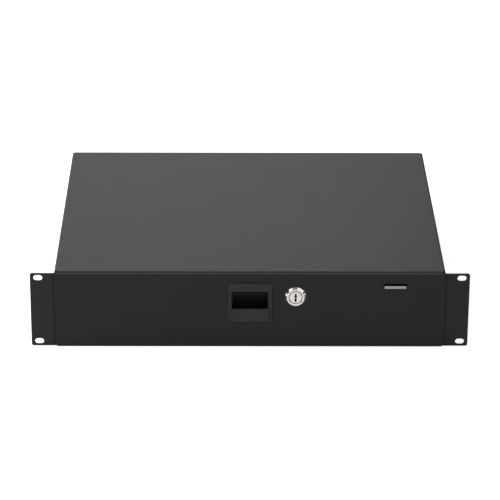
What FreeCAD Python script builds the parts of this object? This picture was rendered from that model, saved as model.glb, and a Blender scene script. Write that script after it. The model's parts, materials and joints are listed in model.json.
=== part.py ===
import FreeCAD, Part
import math
import os

# Sliding drawer for a 19 inch equipment rack: a folded steel casing with two slotted ears, a drawer
# on ball-bearing slides, a finger-pull latch and a cam lock.
# Millimetres. +X is to the right, +Y to the back and +Z up. The origin is the centre of the four
# rack slots, on the rear face of the ears. "Right" pieces are at +X and are mirrored to the left.

Vector = FreeCAD.Vector
along_x = Vector(1, 0, 0)
along_y = Vector(0, 1, 0)
along_z = Vector(0, 0, 1)
origin = Vector(0, 0, 0)

# How far a cutting piece runs past the faces it crosses
cut_past = 1.0

# How close two places count as level, and how straight an edge runs along an axis to count as such
hair = 0.01
nearly_along = 0.9

# Rack interface
rack_unit = 44.45
units_high = 2
height_allowance = 1.9
rack_width = 482.6
slot_pitch_x = 465.1
slot_end_inset = 12.7
slot_length = 10.0
slot_height = 6.5
ear_corner = 2.5
ear_bend = 2.5

# Casing
casing_width = 427.6
casing_depth = 369.5
sheet = 1.5
bend = 1.0
top_flange = 9.0
bend_relief = 4.0
sheet_gap = 0.3
flange_corner_gap = 1.2
flange_trim = 2.0
fold_overlap = 10.0

# Top cover
cover_sheet = 1.2
cover_bend = 1.3
cover_flange = 12.0
lip_setback = 2.6
lip_bend = 1.8
lip_drop = 10.0
lip_gap = 0.4
lip_overlap = 5.0
cover_screw_radius = 1.5
cover_screw_head = 2.9
cover_screw_length = 5.0
cover_screw_inset = 6.0
cover_screw_places = (40.0, 180.0, 325.0)
rear_screw_x = 120.0

# Strike rail under the cover
strike_sheet = 1.5
strike_left = -60.0
strike_right = 85.0
strike_depth = 16.0
strike_bottom = 31.0
strike_clearance = 1.0

# Front panel
panel_width = 429.6
panel_height = 87.5
panel_thickness = 2.0
panel_lift = 0.55
panel_corner = 3.5
panel_edge = 0.4
panel_gap = 0.8

# Drawer tray
tray_sheet = 1.2
tray_bend = 1.0
tray_floor_gap = 3.0
tray_length = 350.0
tray_return = 7.0
tray_wall_overhang = 6.0
tray_front_margin = 4.5
tray_corner_gap = 2.4

# Studs and nuts that hold the panel to the tray
stud_radius = 2.0
stud_length = 8.5
stud_inset = 15.5
stud_inner_x = 95.0
stud_chamfer = 0.5
stud_rows = (-28.0, 28.0)
nut_width = 7.0
nut_height = 3.2
hole_clearance = 0.2
thread_play = 0.03

# Ball-bearing slides
slide_thickness = 12.7
slide_height = 45.0
slide_length = 350.0
slide_front = 5.0
slide_centre_z = -5.0
slide_sheet = 1.2
slide_bend = 0.8
slide_lip = 2.3
outer_reach = 9.8
middle_reach = 10.6
middle_setback = 1.0
inner_lead = 1.0
inner_reach = 4.9
web_gap = 1.2
cage_sheet = 0.6
cage_gap = 0.3
cage_length = 150.0
cage_start = 100.0
outer_cage_reach = 8.4
inner_cage_reach = 9.4
ball_radius = 2.38
ball_play = 0.2
ball_hole_play = 0.15
outer_ball_depth = 5.8
inner_ball_depth = 7.2
balls_per_row = 4
ball_margin = 9.0
buffer_length = 5.5
buffer_height = 18.0
buffer_depth = 7.0
buffer_gap = 1.0
buffer_round = 1.5
slide_screw_radius = 2.0
slide_screw_head = 3.2
slide_screw_tail = 1.0
slide_screw_places = (35.0, 175.0, 315.0)
tray_screw_radius = 1.9
tray_screw_head = 3.5
tray_screw_head_height = 1.8
tray_screw_tail = 1.3
tray_screw_places = (55.0, 295.0)

# Latch housing
latch_z = 9.3
latch_width = 48.8
latch_height = 48.0
latch_corner = 4.0
latch_edge = 0.8
latch_proud = 1.2
latch_cutout_gap = 0.25
latch_wall = 1.2
latch_face_wall = 1.5
latch_shell_wall = 1.8
flange_width = 62.0
flange_height = 58.0
flange_thickness = 2.0
recess_width = 40.4
recess_height = 20.9
recess_drop = 9.9
recess_depth = 16.5
recess_step = 5.2
recess_step_run = 2.6
recess_step_wall = 0.84
recess_lean = 5.0
finger_depth = 6.5
latch_screw_x = 27.9
latch_screw_z = 19.0
latch_screw_radius = 1.5
latch_screw_head = 2.8
latch_screw_head_height = 2.0
arm_slot_drop = 3.0

# Latch lever, which carries the finger pad and the hook
pad_width = 43.2
pad_height = 16.1
pad_thickness = 2.4
pad_edge = 0.5
pad_gap = 0.3
pad_corner_gap = 0.5
lever_arm = 1.2
lever_arm_gap = 0.3
lever_arm_setback = 5.1
lever_arm_width = 2.6
lever_arm_overlap = 0.2
lever_arm_knee = 3.9
lever_arm_crown = 0.4
lever_neck_front = 0.6
lever_neck_front_drop = 1.5
lever_neck_middle = 0.3
lever_neck_middle_drop = 1.0
lever_neck_rear = 0.2
lever_neck_rear_drop = 2.0
lever_barrel = 2.4
lever_gap = 0.4
pin_radius = 1.25
pin_play = 0.05
pin_end = 0.4
pivot_drop = 5.1
rear_arm_width = 16.0
rear_arm_start = 0.5
rear_arm_root = 1.6
barrel_overlap = 2.0
hook_clearance = 0.3
hook_height = 4.0
hook_depth = 3.5
hook_tip = 0.8
rear_arm_drop = 3.2
spring_y = 7.0
spring_radius = 2.3
spring_wire = 0.35
spring_wire_sides = 8
spring_turns = 3
spring_seat = 0.3
spring_length = 6.2
spring_room = 3.0
spring_pocket = 4.0

# Cam lock
lock_x = 50.1
lock_z = 17.1
lock_flange_radius = 11.75
lock_ring_radius = 9.75
lock_proud = 3.0
lock_flange_rim = 0.8
lock_body_radius = 9.5
lock_body_length = 18.9
lock_flats = 16.0
plug_face_radius = 7.6
plug_face_depth = 2.0
plug_core_radius = 6.0
plug_play = 0.05
key_slot_width = 2.0
key_slot_height = 9.8
key_slot_depth = 7.0
lock_washer_radius = 12.5
lock_washer_thickness = 1.0
lock_nut_width = 23.0
lock_nut_height = 4.5
cam_gap = 0.3
cam_thickness = 2.0
cam_width = 13.0
cam_length = 20.0
cam_tip_width = 9.0
tang_width = 7.0
tang_setback = 0.1
cam_screw_head = 4.5
cam_screw_head_height = 2.6
cam_screw_radius = 2.0
cam_screw_length = 8.0

# Planes and places that follow from the sizes above
front_height = units_high * rack_unit - height_allowance
slot_pitch_z = units_high * rack_unit - slot_end_inset
top = front_height / 2
bottom = -front_height / 2
wall_outer = casing_width / 2
wall_inner = wall_outer - sheet
wall_front = ear_bend + sheet
cover_half = wall_outer + cover_sheet
cover_under = top - cover_sheet
chassis_rear = casing_depth - cover_sheet
ear_front = -sheet
panel_rear = ear_front - panel_gap
panel_front = panel_rear - panel_thickness
tray_half = wall_inner - slide_thickness
tray_wall_rear = panel_rear + tray_sheet
tray_floor = bottom + sheet + tray_floor_gap
tray_top = strike_bottom - strike_clearance
tray_rear = panel_rear + tray_length
tray_seam = tray_rear - tray_sheet - tray_bend - sheet_gap
tray_wall_top = top - tray_front_margin
latch_face = panel_front - latch_proud
recess_floor = latch_z + latch_height / 2 - recess_drop - recess_height
recess_top = recess_floor + recess_height
pivot_y = latch_face + latch_face_wall + lever_gap + lever_barrel
pivot_z = latch_z + latch_height / 2 - pivot_drop
room_top = latch_z + latch_height / 2 - latch_shell_wall
recess_rear = latch_face + recess_depth
flange_rear = tray_wall_rear + flange_thickness
lock_body_rear = panel_front + lock_body_length
cam_front = lock_body_rear + cam_gap
strike_rear = cam_front - strike_clearance + cam_gap
strike_front = strike_rear - strike_sheet


def block(x_span, y_span, z_span):
    size = [span[1] - span[0] for span in (x_span, y_span, z_span)]
    return Part.makeBox(size[0], size[1], size[2], Vector(x_span[0], y_span[0], z_span[0]))


def both_ways(half):
    return (-half, half)


def rod(radius, start, end):
    return Part.makeCylinder(radius, (end - start).Length, start, end - start)


def joined(shapes):
    whole = shapes[0].multiFuse(shapes[1:]) if len(shapes) > 1 else shapes[0]
    return whole.removeSplitter()


def mirrored(shape):
    return shape.mirror(origin, along_x)


def flat_y(x, z):
    return Vector(x, 0, z)


def flat_x(y, z):
    return Vector(0, y, z)


def flat_z(x, y):
    return Vector(x, y, 0)


def outline(corners, place):
    points = [place(a, b) for a, b in corners]
    return Part.Face(Part.makePolygon(points + points[:1]))


def slab(corners, place, direction, span):
    face = outline(corners, place)
    face.translate(direction * span[0])
    return face.extrude(direction * (span[1] - span[0]))


def strip_side(route, shift, radius, place):
    # One face of a bent strip: straight runs with an arc at each corner of the route.
    edges = []
    start = None
    for before, corner, after in zip(route, route[1:], route[2:]):
        way_in = (corner - before).normalize()
        way_out = (after - corner).normalize()
        left_in = Vector(-way_in.y, way_in.x, 0)
        left_out = Vector(-way_out.y, way_out.x, 0)
        side = 1 if way_in.cross(way_out).z > 0 else -1
        cut = radius * math.tan(way_in.getAngle(way_out) / 2)
        arc_start = corner - way_in * cut
        arc_end = corner + way_out * cut
        centre = arc_start + left_in * side * radius
        middle = centre + (corner - centre).normalize() * (radius - side * shift)
        if start is None:
            start = before + left_in * shift
        ends = [start, arc_start + left_in * shift, middle, arc_end + left_out * shift]
        a, b, c, d = [place(point.x, point.y) for point in ends]
        edges.append(Part.LineSegment(a, b).toShape())
        edges.append(Part.Arc(b, c, d).toShape())
        start = ends[3]
    way = (route[-1] - route[-2]).normalize()
    finish = route[-1] + Vector(-way.y, way.x, 0) * shift
    edges.append(Part.LineSegment(place(start.x, start.y), place(finish.x, finish.y)).toShape())
    return edges


def bent_strip(corners, thickness, inside_radius, place, direction, span):
    # Sheet whose middle plane follows the corners, seen along direction.
    route = [Vector(a, b, 0) for a, b in corners]
    radius = inside_radius + thickness / 2
    left = strip_side(route, thickness / 2, radius, place)
    right = strip_side(route, -thickness / 2, radius, place)
    caps = []
    for end, vertex in ((0, 0), (-1, -1)):
        a = left[end].Vertexes[vertex].Point
        b = right[end].Vertexes[vertex].Point
        caps.append(Part.LineSegment(a, b).toShape())
    wire = Part.Wire(Part.__sortEdges__(left + right + caps))
    face = Part.Face(wire)
    face.translate(direction * span[0])
    return face.extrude(direction * (span[1] - span[0]))


def rounded_plate(width, height, corner, centre_x, centre_z, y_span):
    plate = block(
        (centre_x - width / 2, centre_x + width / 2),
        y_span,
        (centre_z - height / 2, centre_z + height / 2),
    )
    upright = [edge for edge in plate.Edges if abs(edge.tangentAt(edge.FirstParameter).y) > nearly_along]
    return plate.makeFillet(corner, upright)


def soften_front(shape, y, radius):
    # Rounds the edges that lie in the plane Y = y.
    rim = [edge for edge in shape.Edges
           if abs(edge.BoundBox.YMin - y) < hair and abs(edge.BoundBox.YMax - y) < hair]
    return shape.makeFillet(radius, rim)


def rear_rim(shape, y):
    # The edges that lie furthest back, in the plane Y = y.
    return [edge for edge in shape.Edges if edge.BoundBox.YMin > y - hair]


def hexagon(width, height, x, y, z):
    corner = width / 2 / math.cos(math.pi / 6)
    points = []
    for step in range(6):
        turn = math.pi / 3 * step
        points.append((x + corner * math.cos(turn), z + corner * math.sin(turn)))
    return slab(points, flat_y, along_y, (y, y + height))


def ear_slot(x, z, y_span):
    straight = slot_length / 2 - slot_height / 2
    middle = block((x - straight, x + straight), y_span, (z - slot_height / 2, z + slot_height / 2))
    ends = []
    for side in (-1, 1):
        place = Vector(x + side * straight, y_span[0], z)
        ends.append(rod(slot_height / 2, place, place + along_y * (y_span[1] - y_span[0])))
    return joined([middle] + ends)


def ear(side):
    middle_x = wall_outer - sheet / 2
    corners = [(middle_x, wall_front), (middle_x, ear_front / 2), (rack_width / 2, ear_front / 2)]
    shape = bent_strip(corners, sheet, ear_bend, flat_z, along_z, (bottom, top))
    tip = [edge for edge in shape.Edges
           if abs(edge.tangentAt(edge.FirstParameter).y) > nearly_along
           and abs(edge.BoundBox.XMax - rack_width / 2) < hair
           and edge.Length < sheet * 2]
    shape = shape.makeFillet(ear_corner, tip)
    for z in (-slot_pitch_z / 2, slot_pitch_z / 2):
        shape = shape.cut(ear_slot(slot_pitch_x / 2, z, (-sheet - cut_past, cut_past)))
    for z_span in ((bottom, bottom + bend_relief), (top - bend_relief, top)):
        x_span = (wall_inner - cut_past, wall_outer + sheet_gap)
        shape = shape.cut(block(x_span, (-sheet - cut_past, wall_front), z_span))
    return shape if side > 0 else mirrored(shape)


def side_screw_places():
    return [Vector(0, y, top - cover_screw_inset) for y in cover_screw_places]


def chassis():
    side_x = wall_outer - sheet / 2
    floor_z = bottom + sheet / 2
    flange_z = cover_under - sheet / 2
    corners = [
        (side_x - top_flange, flange_z),
        (side_x, flange_z),
        (side_x, floor_z),
        (-side_x, floor_z),
        (-side_x, flange_z),
        (top_flange - side_x, flange_z),
    ]
    shell = bent_strip(corners, sheet, bend, flat_y, along_y, (wall_front, chassis_rear))
    inside = both_ways(wall_inner - sheet_gap)
    rear_room = chassis_rear - sheet - bend - cut_past
    rear_zone = (rear_room, chassis_rear + cut_past)
    shell = shell.cut(block(inside, rear_zone, (bottom - cut_past, bottom + bend_relief)))
    flange_front = lip_setback + cover_sheet + lip_bend + lip_gap
    flange_rear_end = chassis_rear - top_flange - flange_corner_gap
    for y_span in ((0, flange_front), (flange_rear_end, chassis_rear + cut_past)):
        shell = shell.cut(block(inside, y_span, (cover_under - sheet - flange_trim, top)))
    rear_y = chassis_rear - sheet / 2
    rear_corners = [
        (rear_room - fold_overlap, floor_z),
        (rear_y, floor_z),
        (rear_y, flange_z),
        (rear_y - top_flange, flange_z),
    ]
    rear = bent_strip(rear_corners, sheet, bend, flat_x, along_x, inside)
    body = joined([shell, rear, ear(1), ear(-1)])
    holes = cover_screws()
    for side in (-1, 1):
        for y in slide_screw_places:
            place = Vector(side * (wall_inner - cut_past), slide_front + y, slide_centre_z)
            tip = place + along_x * side * (sheet + 2 * cut_past)
            holes.append(rod(slide_screw_radius + thread_play, place, tip))
    return body.cut(holes)


def screw_sink(place, direction):
    # Countersunk head and shank; place is on the sheet's outer face, direction points inwards.
    head_depth = cover_screw_head - cover_screw_radius
    head = Part.makeCone(cover_screw_head, cover_screw_radius, head_depth, place, direction)
    start = place + direction * head_depth / 2
    shank = rod(cover_screw_radius, start, place + direction * cover_screw_length)
    return joined([head, shank])


def cover_screws():
    screws = []
    for side in (-1, 1):
        for place in side_screw_places():
            screws.append(screw_sink(place + along_x * side * cover_half, along_x * -side))
        rear = Vector(side * rear_screw_x, casing_depth, top - cover_screw_inset)
        screws.append(screw_sink(rear, -along_y))
    return screws


def top_cover():
    side_x = wall_outer + cover_sheet / 2
    plate_z = top - cover_sheet / 2
    flange_end = top - cover_flange
    corners = [(side_x, flange_end), (side_x, plate_z), (-side_x, plate_z), (-side_x, flange_end)]
    front = lip_setback + cover_sheet + lip_bend
    rear = casing_depth - cover_sheet - cover_bend
    hood = bent_strip(corners, cover_sheet, cover_bend, flat_y, along_y, (front, rear))
    lip_y = lip_setback + cover_sheet / 2
    lip_corners = [(lip_y, top - lip_drop), (lip_y, plate_z), (front + lip_overlap, plate_z)]
    width = both_ways(wall_inner - lip_gap)
    lip = bent_strip(lip_corners, cover_sheet, lip_bend, flat_x, along_x, width)
    back_y = casing_depth - cover_sheet / 2
    back_corners = [(back_y, flange_end), (back_y, plate_z), (rear - lip_overlap, plate_z)]
    back = bent_strip(back_corners, cover_sheet, cover_bend, flat_x, along_x, width)
    return joined([hood, lip, back]).cut(cover_screws())


def strike_rail():
    leg_y = strike_rear - strike_sheet / 2
    flange_z = cover_under - strike_sheet / 2
    corners = [(leg_y, strike_bottom), (leg_y, flange_z), (leg_y + strike_depth, flange_z)]
    rail = bent_strip(corners, strike_sheet, bend, flat_x, along_x, (strike_left, strike_right))
    trims = []
    for x, side in ((strike_left, 1), (strike_right, -1)):
        inward = x + side * bend_relief
        tip = [(x, strike_bottom), (inward, strike_bottom), (x, strike_bottom + bend_relief)]
        trims.append(slab(tip, flat_y, along_y, (strike_front - cut_past, strike_rear + cut_past)))
    return rail.cut(trims)


def lock_hole(radius_extra, y_span):
    radius = lock_body_radius + radius_extra
    place = Vector(lock_x, y_span[0], lock_z)
    round_hole = rod(radius, place, place + along_y * (y_span[1] - y_span[0]))
    flat = lock_flats / 2 + radius_extra
    flats = block((lock_x - flat, lock_x + flat), y_span, (lock_z - radius, lock_z + radius))
    return round_hole.common(flats)


def latch_cutout(y_span):
    gap = latch_cutout_gap * 2
    corner = latch_corner + latch_cutout_gap
    return rounded_plate(latch_width + gap, latch_height + gap, corner, 0, latch_z, y_span)


def front_panel():
    y_span = (panel_front, panel_rear)
    plate = rounded_plate(panel_width, panel_height, panel_corner, 0, panel_lift, y_span)
    plate = soften_front(plate, panel_front, panel_edge)
    through = (panel_front - cut_past, panel_rear + cut_past)
    return plate.cut([latch_cutout(through), lock_hole(hole_clearance, through)])


def stud_places():
    columns = (stud_inset - tray_half, -stud_inner_x, stud_inner_x, tray_half - stud_inset)
    return [Vector(x, panel_rear, z) for x in columns for z in stud_rows]


def panel_studs():
    studs = []
    for place in stud_places():
        stud = rod(stud_radius, place, place + along_y * stud_length)
        studs.append(stud.makeChamfer(stud_chamfer, rear_rim(stud, panel_rear + stud_length)))
    return studs


def panel_nuts():
    nuts = []
    for place in stud_places():
        nut = hexagon(nut_width, nut_height, place.x, tray_wall_rear, place.z)
        nuts.append(nut.cut(rod(stud_radius + thread_play, place, place + along_y * stud_length)))
    return nuts


def tray_back():
    # Folded strip, seam-welded to the rear edge of the tray's floor.
    back_y = tray_rear - tray_sheet / 2
    floor_z = tray_floor + tray_sheet / 2
    hem_z = tray_top - tray_sheet / 2
    corners = [
        (tray_seam, floor_z),
        (back_y, floor_z),
        (back_y, hem_z),
        (back_y - tray_return, hem_z),
    ]
    width = both_ways(tray_half - tray_corner_gap)
    return bent_strip(corners, tray_sheet, tray_bend, flat_x, along_x, width)


def drawer_tray():
    side_x = tray_half - tray_sheet / 2
    floor_z = tray_floor + tray_sheet / 2
    hem_z = tray_top - tray_sheet / 2
    corners = [
        (side_x - tray_return, hem_z),
        (side_x, hem_z),
        (side_x, floor_z),
        (-side_x, floor_z),
        (-side_x, hem_z),
        (tray_return - side_x, hem_z),
    ]
    pan = bent_strip(corners, tray_sheet, tray_bend, flat_y, along_y,
                     (tray_wall_rear + sheet_gap, tray_rear - tray_sheet - sheet_gap))
    front_room = tray_wall_rear + tray_bend + sheet_gap
    inside = both_ways(tray_half - tray_corner_gap)
    floor_zone = (tray_floor - cut_past, tray_floor + tray_corner_gap)
    hem_zone = (hem_z - tray_sheet - tray_bend, tray_top + cut_past)
    pan = pan.cut([
        block(inside, (panel_rear - cut_past, front_room), floor_zone),
        block(inside, (tray_seam, tray_rear + cut_past), floor_zone),
        block(inside, (tray_rear - tray_return - tray_sheet * 2, tray_rear + cut_past), hem_zone),
    ])
    front_y = panel_rear + tray_sheet / 2
    front_corners = [(front_room + fold_overlap, floor_z), (front_y, floor_z), (front_y, tray_wall_top)]
    front = bent_strip(front_corners, tray_sheet, tray_bend, flat_x, along_x, inside)
    overhang = both_ways(tray_half + tray_wall_overhang)
    wings_height = (tray_floor + tray_wall_overhang, tray_wall_top)
    wings = block(overhang, (panel_rear, tray_wall_rear), wings_height)
    tray = joined([pan, front, wings])
    through = (panel_rear - cut_past, tray_wall_rear + cut_past)
    holes = [latch_cutout(through), lock_hole(hole_clearance, through)]
    for place in stud_places():
        tip = place + along_y * (tray_sheet + cut_past)
        holes.append(rod(stud_radius + hole_clearance, place - along_y, tip))
    for x in (-latch_screw_x, latch_screw_x):
        for z in (latch_z - latch_screw_z, latch_z + latch_screw_z):
            place = Vector(x, panel_rear - cut_past, z)
            tip = place + along_y * (tray_sheet + 2 * cut_past)
            holes.append(rod(latch_screw_radius + thread_play, place, tip))
    for side in (-1, 1):
        for y in tray_screw_places:
            place = Vector(side * (tray_half - tray_sheet - cut_past), slide_front + y, slide_centre_z)
            tip = place + along_x * side * (tray_sheet + 2 * cut_past)
            holes.append(rod(tray_screw_radius + thread_play, place, tip))
    return tray.cut(holes)


def slide_point(depth, height):
    # Depth is measured from the casing's wall towards the drawer.
    return Vector(wall_inner - depth, 0, slide_centre_z + height)


race_outer = slide_height / 2 - slide_sheet
middle_outside = race_outer - 2 * (ball_radius + ball_play)
race_middle = middle_outside - slide_sheet
inner_outside = race_middle - 2 * (ball_radius + ball_play)
outer_ball_z = (race_outer + middle_outside) / 2
inner_ball_z = (race_middle + inner_outside) / 2
middle_web = slide_sheet + web_gap
half_gauge = slide_sheet / 2


def channel(web, reach, height, lip, y_span):
    # A rolled channel, its free edges turned in by the lip.
    edge = height - half_gauge
    tip = reach - half_gauge
    corners = [(tip, edge), (web, edge), (web, -edge), (tip, -edge)]
    if lip > 0:
        corners = [(tip, edge - lip)] + corners + [(tip, lip - edge)]
    return bent_strip(corners, slide_sheet, slide_bend, slide_point, along_y, y_span)


def slide_outer():
    body = channel(half_gauge, outer_reach, slide_height / 2, slide_lip,
                   (slide_front, slide_front + slide_length))
    return body.cut(slide_screws())


def slide_middle():
    rear = slide_front + slide_length - buffer_length - buffer_gap
    length = (slide_front + middle_setback, rear)
    return channel(middle_web + half_gauge, middle_reach, middle_outside, slide_lip, length)


def slide_inner():
    rear = slide_front + slide_length - buffer_length - buffer_gap * 2
    edge = inner_outside - half_gauge
    web = slide_thickness - half_gauge
    corners = [(inner_reach, edge), (web, edge), (web, -edge), (inner_reach, -edge)]
    length = (slide_front - inner_lead, rear)
    body = bent_strip(corners, slide_sheet, slide_bend, slide_point, along_y, length)
    holes = []
    for y in tray_screw_places:
        place = slide_point(slide_thickness + cut_past, 0) + along_y * (slide_front + y)
        tip = place + along_x * (slide_sheet + 2 * cut_past)
        holes.append(rod(tray_screw_radius + thread_play, place, tip))
    return body.cut(holes)


def ball_places(depth, height):
    first = slide_front + cage_start + ball_margin
    step = (cage_length - 2 * ball_margin) / (balls_per_row - 1)
    places = []
    for row in (-height, height):
        for count in range(balls_per_row):
            places.append(slide_point(depth, row) + along_y * (first + count * step))
    return places


def cage(web, reach, height, balls):
    corners = [(reach, height), (web, height), (web, -height), (reach, -height)]
    start = slide_front + cage_start
    strip = bent_strip(corners, cage_sheet, cage_gap, slide_point, along_y, (start, start + cage_length))
    hole = ball_radius + ball_hole_play
    pockets = [rod(hole, place - along_z, place + along_z) for place in balls]
    return strip.cut(pockets)


def outer_cage():
    web = slide_sheet + cage_gap + cage_sheet / 2
    return cage(web, outer_cage_reach, outer_ball_z, ball_places(outer_ball_depth, outer_ball_z))


def inner_cage():
    web = middle_web + slide_sheet + cage_gap + cage_sheet / 2
    return cage(web, inner_cage_reach, inner_ball_z, ball_places(inner_ball_depth, inner_ball_z))


def balls(depth, height):
    return [Part.makeSphere(ball_radius, place) for place in ball_places(depth, height)]


def slide_screws():
    screws = []
    for y in slide_screw_places:
        place = slide_point(slide_sheet, 0) + along_y * (slide_front + y)
        head = Part.makeCone(slide_screw_head, slide_screw_radius, slide_sheet, place, along_x)
        tail = place + along_x * (slide_sheet + sheet + slide_screw_tail)
        screws.append(joined([head, rod(slide_screw_radius, place + along_x * half_gauge, tail)]))
    return screws


def tray_screws():
    screws = []
    for y in tray_screw_places:
        seat = Vector(tray_half - tray_sheet, slide_front + y, slide_centre_z)
        head = rod(tray_screw_head, seat - along_x * tray_screw_head_height, seat)
        head_end = seat.x - tray_screw_head_height + hair
        rim = [edge for edge in head.Edges if edge.BoundBox.XMax < head_end]
        head = head.makeFillet(tray_screw_head_height / 2, rim)
        tail = seat + along_x * (tray_sheet + slide_sheet + tray_screw_tail)
        screws.append(joined([head, rod(tray_screw_radius, seat, tail)]))
    return screws


def slide_buffer():
    rear = slide_front + slide_length
    near = wall_inner - slide_sheet
    pad = block(
        (near - buffer_depth, near),
        (rear - buffer_length, rear),
        (slide_centre_z - buffer_height / 2, slide_centre_z + buffer_height / 2),
    )
    front_edges = [edge for edge in pad.Edges if edge.BoundBox.YMax < rear - buffer_length + hair]
    rim = [edge for edge in front_edges if edge.BoundBox.XMax < near - hair]
    return pad.makeFillet(buffer_round, rim)


def pivot_rod(radius, x_span):
    start = Vector(x_span[0], pivot_y, pivot_z)
    return rod(radius, start, start + along_x * (x_span[1] - x_span[0]))


def latch_screw_places():
    return [Vector(x, flange_rear, z)
            for x in (-latch_screw_x, latch_screw_x)
            for z in (latch_z - latch_screw_z, latch_z + latch_screw_z)]


def spring_seat_z():
    return recess_top - recess_step + latch_wall + spring_seat


def latch_housing():
    half_recess = recess_width / 2
    boss_span = (latch_face, tray_wall_rear + cut_past)
    boss = rounded_plate(latch_width, latch_height, latch_corner, 0, latch_z, boss_span)
    boss = soften_front(boss, latch_face, latch_edge)
    flange_span = (tray_wall_rear, flange_rear)
    flange = rounded_plate(flange_width, flange_height, latch_corner, 0, latch_z, flange_span)
    finger_floor = recess_floor - finger_depth
    shell_rear = recess_rear + latch_wall
    step_end = flange_rear + recess_step_run
    low_roof = recess_top - recess_step
    shell_corners = [
        (tray_wall_rear, finger_floor - latch_wall),
        (shell_rear, finger_floor - latch_wall),
        (shell_rear, low_roof + latch_wall),
        (step_end + recess_step_wall, low_roof + latch_wall),
        (flange_rear + recess_step_wall, recess_top + latch_wall),
        (tray_wall_rear, recess_top + latch_wall),
    ]
    shell = slab(shell_corners, flat_x, along_x, both_ways(half_recess + latch_wall))
    seat_top = Vector(0, spring_y, spring_seat_z())
    seat = rod(spring_room, seat_top - along_z * (spring_seat + latch_wall / 2), seat_top)
    body = joined([boss, flange, shell, seat])
    pad_rear = latch_face + pad_thickness + pad_gap
    recess_corners = [
        (latch_face - cut_past, recess_floor),
        (latch_face - cut_past, recess_top),
        (flange_rear, recess_top),
        (step_end, low_roof),
        (recess_rear - recess_lean, low_roof),
        (recess_rear, finger_floor),
        (pad_rear, finger_floor),
        (pad_rear, recess_floor),
    ]
    recess = slab(recess_corners, flat_x, along_x, both_ways(half_recess))
    pad_bottom = recess_floor - pad_height
    pad_room = block(
        both_ways(pad_width / 2 + pad_gap),
        (latch_face - cut_past, pad_rear),
        (pad_bottom - pad_gap, recess_floor + pad_corner_gap),
    )
    ceiling_top = recess_top + latch_wall
    room = block(
        both_ways(latch_width / 2 - latch_shell_wall),
        (latch_face + latch_face_wall, flange_rear + cut_past),
        (ceiling_top, room_top),
    )
    lightening = block(
        both_ways(pad_width / 2),
        (pad_rear + latch_wall, flange_rear + cut_past),
        (pad_bottom, finger_floor - latch_wall),
    )
    cuts = [recess, pad_room, room, lightening]
    for side in (-1, 1):
        near = half_recess - lever_arm - 2 * lever_arm_gap
        x_span = sorted((side * near, side * half_recess))
        y_span = (latch_face + latch_face_wall, pivot_y + lever_barrel + lever_gap)
        cuts.append(block(x_span, y_span, (recess_top - arm_slot_drop, ceiling_top + cut_past)))
    cuts.append(pivot_rod(pin_radius, both_ways(latch_width)))
    for place in latch_screw_places():
        hole_front = place - along_y * (flange_thickness + cut_past)
        cuts.append(rod(latch_screw_radius + hole_clearance, hole_front, place + along_y))
    return body.cut(cuts)


def latch_pin():
    return pivot_rod(pin_radius, both_ways(latch_width / 2 - pin_end))


def latch_screws():
    screws = []
    for place in latch_screw_places():
        head = rod(latch_screw_head, place, place + along_y * latch_screw_head_height)
        rim = rear_rim(head, place.y + latch_screw_head_height)
        head = head.makeFillet(latch_screw_head_height / 2, rim)
        tip = place - along_y * (flange_rear - panel_rear)
        screws.append(joined([head, rod(latch_screw_radius, tip, place)]))
    return screws


def latch_lever():
    half_pad = pad_width / 2
    pad = block(
        both_ways(half_pad),
        (latch_face, latch_face + pad_thickness),
        (recess_floor - pad_height, recess_floor),
    )
    pad = soften_front(pad, latch_face, pad_edge)
    pad_rear = latch_face + pad_thickness
    arm_outer = recess_width / 2 - lever_arm_gap
    arm_inner = arm_outer - lever_arm
    arm_front = pad_rear + lever_arm_setback
    arm_rear = arm_front + lever_arm_width
    arm_foot = recess_floor - finger_depth + pad_gap * 2
    low_roof = recess_top - recess_step
    arm_corners = [
        (pad_rear - lever_arm_overlap, arm_foot),
        (pad_rear - lever_arm_overlap, recess_floor - pad_edge),
        (arm_front, arm_foot + lever_arm_width),
        (arm_front, low_roof - lever_arm_knee),
        (pivot_y + lever_arm_crown, recess_top),
        (pivot_y - lever_barrel + lever_neck_front, pivot_z - lever_neck_front_drop),
        (pivot_y + lever_barrel - lever_neck_middle, pivot_z - lever_neck_middle_drop),
        (pivot_y + lever_barrel - lever_neck_rear, recess_top - lever_neck_rear_drop),
        (arm_rear, low_roof - lever_arm_width),
        (arm_rear, recess_floor),
        (arm_front, arm_foot),
    ]
    half_rear = rear_arm_width / 2
    hook_front = strike_rear + hook_clearance
    hook_top = strike_bottom + hook_height
    hook_rear = hook_front + hook_depth
    arm_top = strike_bottom - strike_clearance
    rear_corners = [
        (pivot_y, pivot_z),
        (pivot_y + rear_arm_start, arm_top),
        (hook_front, arm_top),
        (hook_front, hook_top),
        (hook_front + hook_tip, hook_top),
        (hook_rear, arm_top),
        (hook_rear, pivot_z - rear_arm_drop),
        (recess_rear + latch_wall, pivot_z - rear_arm_drop),
        (pivot_y + lever_barrel, pivot_z - rear_arm_root),
    ]
    pieces = [pad, slab(rear_corners, flat_x, along_x, both_ways(half_rear))]
    for side in (-1, 1):
        arm_span = sorted((side * arm_inner, side * arm_outer))
        pieces.append(slab(arm_corners, flat_x, along_x, arm_span))
        barrel_span = sorted((side * (half_rear - barrel_overlap), side * arm_outer))
        pieces.append(pivot_rod(lever_barrel, barrel_span))
    lever = joined(pieces)
    seat = Vector(0, spring_y, spring_seat_z() + spring_length)
    return lever.cut([
        pivot_rod(pin_radius + pin_play, both_ways(latch_width)),
        pivot_rod(lever_barrel + lever_gap, both_ways(half_rear - barrel_overlap)),
        rod(spring_room, seat - along_z * spring_pocket, seat),
    ])


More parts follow.
